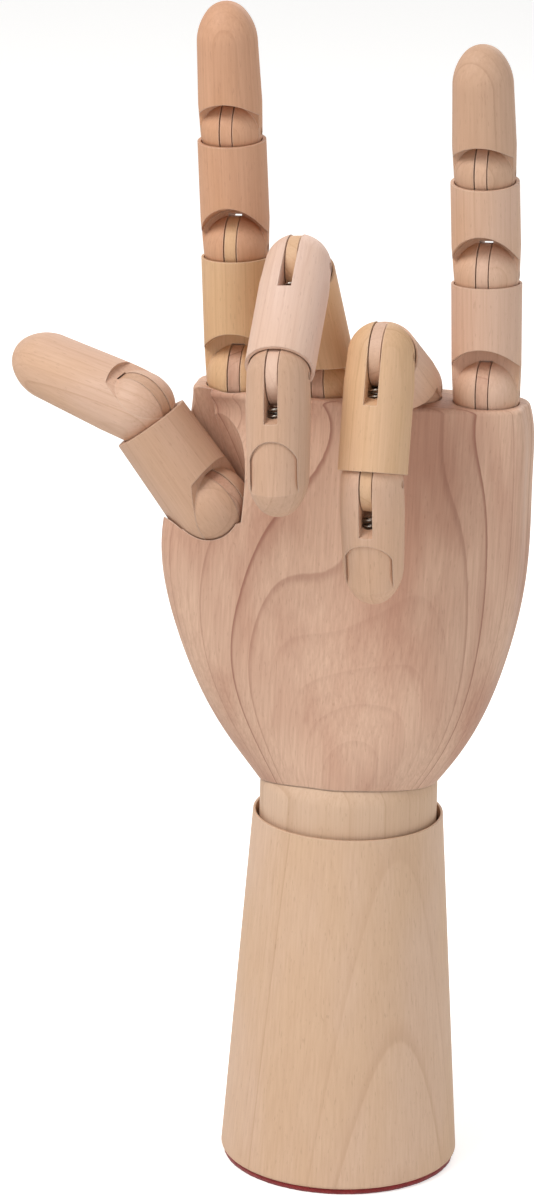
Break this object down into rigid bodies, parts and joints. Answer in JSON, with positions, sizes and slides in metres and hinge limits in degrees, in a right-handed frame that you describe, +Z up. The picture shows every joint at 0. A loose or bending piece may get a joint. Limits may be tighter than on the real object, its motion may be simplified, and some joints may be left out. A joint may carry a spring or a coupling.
{
  "type": "wooden hand mannequin",
  "caption": "Jointed wooden left hand on a tapered round stand, with pinned ball knuckles, a tilting wrist and a felt foot; holds poses for drawing practice or display.",
  "frame": {"origin": "centre of the felt foot's underside", "axes": "+Z up through the stand towards the fingertips, -Y out of the palm, -X towards the thumb"},
  "size_m": [0.1307, 0.0887, 0.2949],
  "materials": {
    "finger_wood": "sanded, unvarnished",
    "tongue_wood": "sanded, unvarnished",
    "palm_wood": "sanded, unvarnished",
    "stand_wood": "sanded, unvarnished",
    "steel": "drawn wire",
    "felt": "felt"
  },
  "bodies": {
    "stand": {"base": "stand_wood", "felt_pad": "felt"},
    "wrist": {"wrist_barrel": "stand_wood", "wrist_spring": "steel", "spring_bar": "steel", "spring_washer": "steel"},
    "palm": {"palm": "palm_wood", "wrist_eye": "steel", "palm_pins": "steel", "index_base_tongue": "tongue_wood", "middle_base_tongue": "tongue_wood", "ring_base_tongue": "tongue_wood", "pinky_base_tongue": "tongue_wood", "thumb_base_tongue": "tongue_wood"},
    "index_proximal": {"index_proximal": "finger_wood", "index_base_spring": "steel", "index_middle_tongue": "tongue_wood", "index_middle_pin": "steel"},
    "index_middle": {"index_middle": "finger_wood", "index_middle_spring": "steel", "index_tip_tongue": "tongue_wood", "index_tip_pin": "steel"},
    "index_distal": {"index_distal": "finger_wood", "index_tip_spring": "steel"},
    "middle_proximal": {"middle_proximal": "finger_wood", "middle_base_spring": "steel", "middle_middle_tongue": "tongue_wood", "middle_middle_pin": "steel"},
    "middle_middle": {"middle_middle": "finger_wood", "middle_middle_spring": "steel", "middle_tip_tongue": "tongue_wood", "middle_tip_pin": "steel"},
    "middle_distal": {"middle_distal": "finger_wood", "middle_tip_spring": "steel"},
    "ring_proximal": {"ring_proximal": "finger_wood", "ring_base_spring": "steel", "ring_middle_tongue": "tongue_wood", "ring_middle_pin": "steel"},
    "ring_middle": {"ring_middle": "finger_wood", "ring_middle_spring": "steel", "ring_tip_tongue": "tongue_wood", "ring_tip_pin": "steel"},
    "ring_distal": {"ring_distal": "finger_wood", "ring_tip_spring": "steel"},
    "pinky_proximal": {"pinky_proximal": "finger_wood", "pinky_base_spring": "steel", "pinky_middle_tongue": "tongue_wood", "pinky_middle_pin": "steel"},
    "pinky_middle": {"pinky_middle": "finger_wood", "pinky_middle_spring": "steel", "pinky_tip_tongue": "tongue_wood", "pinky_tip_pin": "steel"},
    "pinky_distal": {"pinky_distal": "finger_wood", "pinky_tip_spring": "steel"},
    "thumb_proximal": {"thumb_proximal": "finger_wood", "thumb_base_spring": "steel", "thumb_tip_tongue": "tongue_wood", "thumb_tip_pin": "steel"},
    "thumb_distal": {"thumb_distal": "finger_wood", "thumb_tip_spring": "steel"}
  },
  "joints": [
    {"name": "wrist_swivel", "type": "hinge", "parent": "stand", "child": "wrist", "pos_m": [0, 0, 0.0873], "axis": [0, 0, 1], "continuous": true},
    {"name": "wrist_tilt", "type": "hinge", "parent": "wrist", "child": "palm", "pos_m": [0, 0, 0.09178], "axis": [1, 0, 0], "range_deg": [-12, 12]},
    {"name": "index_base_hinge", "type": "hinge", "parent": "palm", "child": "index_proximal", "pos_m": [-0.0301, 0, 0.202], "axis": [0.9988, 0, 0.0489], "range_deg": [-12, 60]},
    {"name": "index_middle_hinge", "type": "hinge", "parent": "index_proximal", "child": "index_middle", "pos_m": [-0.03167, 0, 0.23416], "axis": [0.9988, 0, 0.0489], "range_deg": [-7.6, 86.4]},
    {"name": "index_tip_hinge", "type": "hinge", "parent": "index_middle", "child": "index_distal", "pos_m": [-0.03309, -0.00182, 0.26307], "axis": [0.9988, 0, 0.0489], "range_deg": [-5.5, 34.5]},
    {"name": "middle_base_hinge", "type": "hinge", "parent": "palm", "child": "middle_proximal", "pos_m": [-0.009, 0, 0.202], "axis": [0.9956, -0.0349, 0.0871], "range_deg": [-42.6, 37.4]},
    {"name": "middle_middle_hinge", "type": "hinge", "parent": "middle_proximal", "child": "middle_middle", "pos_m": [-0.01253, -0.01938, 0.23461], "axis": [0.9956, -0.0349, 0.0871], "range_deg": [-101.5, 6.5]},
    {"name": "middle_tip_hinge", "type": "hinge", "parent": "middle_middle", "child": "middle_distal", "pos_m": [-0.01166, -0.04534, 0.21425], "axis": [0.9956, -0.0349, 0.0871], "range_deg": [-40.5, 5.5]},
    {"name": "ring_base_hinge", "type": "hinge", "parent": "palm", "child": "ring_proximal", "pos_m": [0.012, 0, 0.202], "axis": [0.9988, -0.0454, 0.0174], "range_deg": [-75.5, 8.5]},
    {"name": "ring_middle_hinge", "type": "hinge", "parent": "ring_proximal", "child": "ring_middle", "pos_m": [0.01031, -0.03129, 0.21759], "axis": [0.9988, -0.0454, 0.0174], "range_deg": [-104.5, 3.5]},
    {"name": "ring_tip_hinge", "type": "hinge", "parent": "ring_middle", "child": "ring_distal", "pos_m": [0.01044, -0.03961, 0.18856], "axis": [0.9988, -0.0454, 0.0174], "range_deg": [-27, 13]},
    {"name": "pinky_base_hinge", "type": "hinge", "parent": "palm", "child": "pinky_proximal", "pos_m": [0.0311, 0, 0.202], "axis": [0.9993, 0, 0.0384], "range_deg": [-10, 62]},
    {"name": "pinky_middle_hinge", "type": "hinge", "parent": "pinky_proximal", "child": "pinky_middle", "pos_m": [0.02997, 0.00103, 0.23136], "axis": [0.9993, 0, 0.0384], "range_deg": [-11.4, 87.6]},
    {"name": "pinky_tip_hinge", "type": "hinge", "parent": "pinky_middle", "child": "pinky_distal", "pos_m": [0.029, -0.00136, 0.25663], "axis": [0.9993, 0, 0.0384], "range_deg": [-5.2, 30.8]},
    {"name": "thumb_base_hinge", "type": "hinge", "parent": "palm", "child": "thumb_proximal", "pos_m": [-0.0349, -0.0094, 0.1708], "axis": [-0.3967, -0.866, -0.3044], "range_deg": [-23, 1.5]},
    {"name": "thumb_tip_hinge", "type": "hinge", "parent": "thumb_proximal", "child": "thumb_distal", "pos_m": [-0.05322, -0.0094, 0.19468], "axis": [-0.3967, -0.866, -0.3044], "range_deg": [-82.5, 1.5]}
  ]
}
